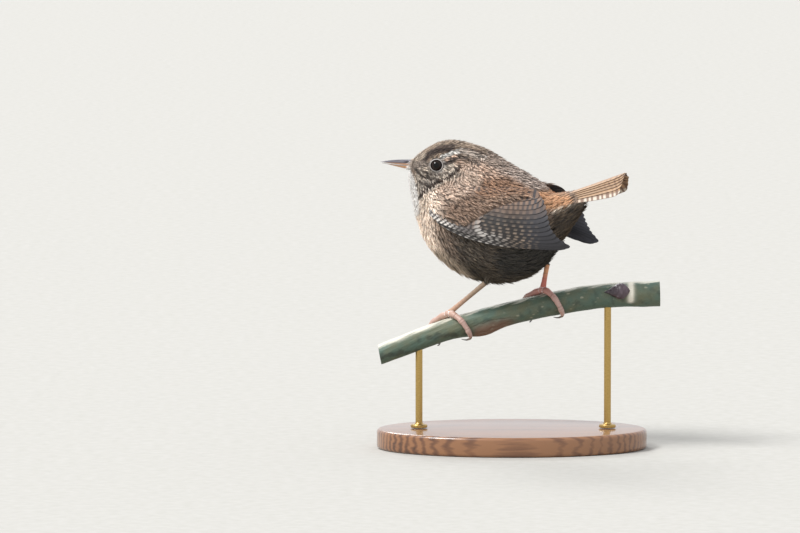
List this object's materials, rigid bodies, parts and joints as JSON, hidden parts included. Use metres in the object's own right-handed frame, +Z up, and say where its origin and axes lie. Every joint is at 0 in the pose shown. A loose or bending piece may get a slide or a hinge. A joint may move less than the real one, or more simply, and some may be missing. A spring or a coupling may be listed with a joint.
{
  "type": "wren model",
  "caption": "Life-size still model of a wren gripping a cut length of branch, held over a flat oval base by two short rods.",
  "frame": {"origin": "centre of the display base's underside", "axes": "+Z up, X along the branch, the bird looks towards -X and its left side faces -Y"},
  "size_m": [0.1006, 0.064, 0.1097],
  "materials": {
    "plumage": "soft matt small feathers, brown above and grey-buff below",
    "tail_feathers": "rufous-brown vanes with dark bars",
    "wing_feathers": "dark brown vanes with buff and white bars",
    "eye": "wet, near black",
    "bill": "satin horn, dark above and pinkish below",
    "leg": "satin scaled skin",
    "claw": "satin dark horn",
    "bark": "smooth green bark with fine cracks",
    "bud": "satin purple-brown scales",
    "base": "oiled wood",
    "rod": "brushed"
  },
  "bodies": {
    "root": {"head": "plumage", "neck": "plumage", "torso": "plumage", "rump": "plumage", "vent": "plumage", "tail": "tail_feathers", "wing_left": "wing_feathers", "wing_right": "wing_feathers", "thigh_left": "plumage", "thigh_right": "plumage", "eye_left": "eye", "eye_right": "eye", "bill_upper": "bill", "bill_lower": "bill", "tarsus_left": "leg", "tarsus_right": "leg", "foot_left": "leg", "foot_right": "leg", "claw_left_hind": "claw", "claw_left_inner": "claw", "claw_left_middle": "claw", "claw_left_outer": "claw", "claw_right_hind": "claw", "claw_right_inner": "claw", "claw_right_middle": "claw", "claw_right_outer": "claw", "perch": "bark", "perch_bud": "bud", "stand_base": "base", "stand_rod_left": "rod", "stand_rod_right": "rod"}
  },
  "joints": []
}
